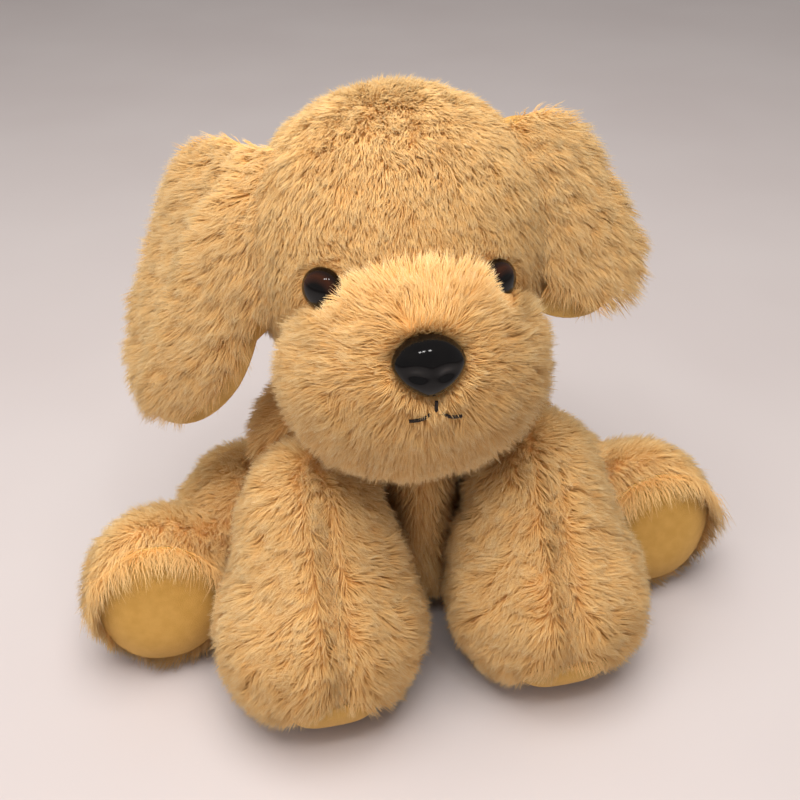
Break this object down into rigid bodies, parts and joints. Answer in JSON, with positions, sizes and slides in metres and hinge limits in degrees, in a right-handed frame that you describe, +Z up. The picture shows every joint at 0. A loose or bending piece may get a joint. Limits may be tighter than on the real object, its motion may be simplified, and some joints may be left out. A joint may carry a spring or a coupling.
{
  "type": "plush dog",
  "caption": "Sitting long-pile plush puppy with a round muzzle, drop ears, straight front legs and splayed hind legs with suede soles.",
  "frame": {"origin": "middle of the flat seat, on the surface that the toy sits on", "axes": "+Z up, the face looks along -Y, the toy's own left side is +X"},
  "size_m": [0.2816, 0.2014, 0.236],
  "materials": {
    "fur": "long soft golden-beige pile, clumped",
    "suede": "short-nap golden suede",
    "lining": "short-nap golden velour",
    "filling": "white polyester fibre",
    "eye": "glossy dark brown with a black pupil",
    "nose": "glossy black",
    "washer": "natural white plastic",
    "thread": "black embroidery thread"
  },
  "bodies": {
    "torso": {"torso_cover": "fur", "torso_stuffing": "filling"},
    "neck": {"neck_stuffing": "filling"},
    "head": {"head_cover": "fur", "head_stuffing": "filling", "muzzle_cover": "fur", "muzzle_stuffing": "filling", "nose": "nose", "nose_washer": "washer", "eye_left": "eye", "eye_left_washer": "washer", "eye_right": "eye", "eye_right_washer": "washer", "mouth_stitch_middle": "thread", "mouth_stitch_left": "thread", "mouth_stitch_right": "thread"},
    "ear_left": {"ear_left_fur": "fur", "ear_left_lining": "lining"},
    "ear_right": {"ear_right_fur": "fur", "ear_right_lining": "lining"},
    "front_leg_left": {"front_leg_left_cover": "fur", "front_leg_left_sole": "suede", "front_leg_left_stuffing": "filling"},
    "front_leg_right": {"front_leg_right_cover": "fur", "front_leg_right_sole": "suede", "front_leg_right_stuffing": "filling"},
    "hind_leg_left": {"hind_leg_left_cover": "fur", "hind_leg_left_sole": "suede", "hind_leg_left_stuffing": "filling"},
    "hind_leg_right": {"hind_leg_right_cover": "fur", "hind_leg_right_sole": "suede", "hind_leg_right_stuffing": "filling"},
    "tail": {"tail_cover": "fur", "tail_stuffing": "filling"}
  },
  "joints": [
    {"name": "head_turn", "type": "hinge", "parent": "torso", "child": "neck", "pos_m": [-0.005, -0.018, 0.13], "axis": [0, 0, 1], "range_deg": [-8, 20], "stiffness_Nm_per_rad": 1},
    {"name": "head_nod", "type": "hinge", "parent": "neck", "child": "head", "pos_m": [-0.005, -0.018, 0.13], "axis": [1, 0, 0], "range_deg": [-12, 3], "stiffness_Nm_per_rad": 2},
    {"name": "ear_left_lift", "type": "hinge", "parent": "head", "child": "ear_left", "pos_m": [0.0324, -0.0272, 0.228], "axis": [0, -1, 0], "range_deg": [0, 40], "stiffness_Nm_per_rad": 0.1},
    {"name": "ear_right_lift", "type": "hinge", "parent": "head", "child": "ear_right", "pos_m": [-0.0506, -0.0079, 0.222], "axis": [0, 1, 0], "range_deg": [0, 60], "stiffness_Nm_per_rad": 0.1},
    {"name": "front_leg_left_swing", "type": "hinge", "parent": "torso", "child": "front_leg_left", "pos_m": [0.042, -0.043, 0.082], "axis": [-1, 0, 0], "range_deg": [0, 35], "stiffness_Nm_per_rad": 0.4},
    {"name": "front_leg_right_swing", "type": "hinge", "parent": "torso", "child": "front_leg_right", "pos_m": [-0.042, -0.043, 0.082], "axis": [-1, 0, 0], "range_deg": [0, 35], "stiffness_Nm_per_rad": 0.4},
    {"name": "hind_leg_left_lift", "type": "hinge", "parent": "torso", "child": "hind_leg_left", "pos_m": [0.054, 0.008, 0.044], "axis": [0, -1, 0], "range_deg": [0, 25], "stiffness_Nm_per_rad": 0.4},
    {"name": "hind_leg_right_lift", "type": "hinge", "parent": "torso", "child": "hind_leg_right", "pos_m": [-0.054, 0.008, 0.044], "axis": [0, 1, 0], "range_deg": [0, 25], "stiffness_Nm_per_rad": 0.4},
    {"name": "tail_wag", "type": "hinge", "parent": "torso", "child": "tail", "pos_m": [0, 0.05, 0.026], "axis": [0, 0, 1], "range_deg": [-25, 25], "stiffness_Nm_per_rad": 0.1}
  ]
}
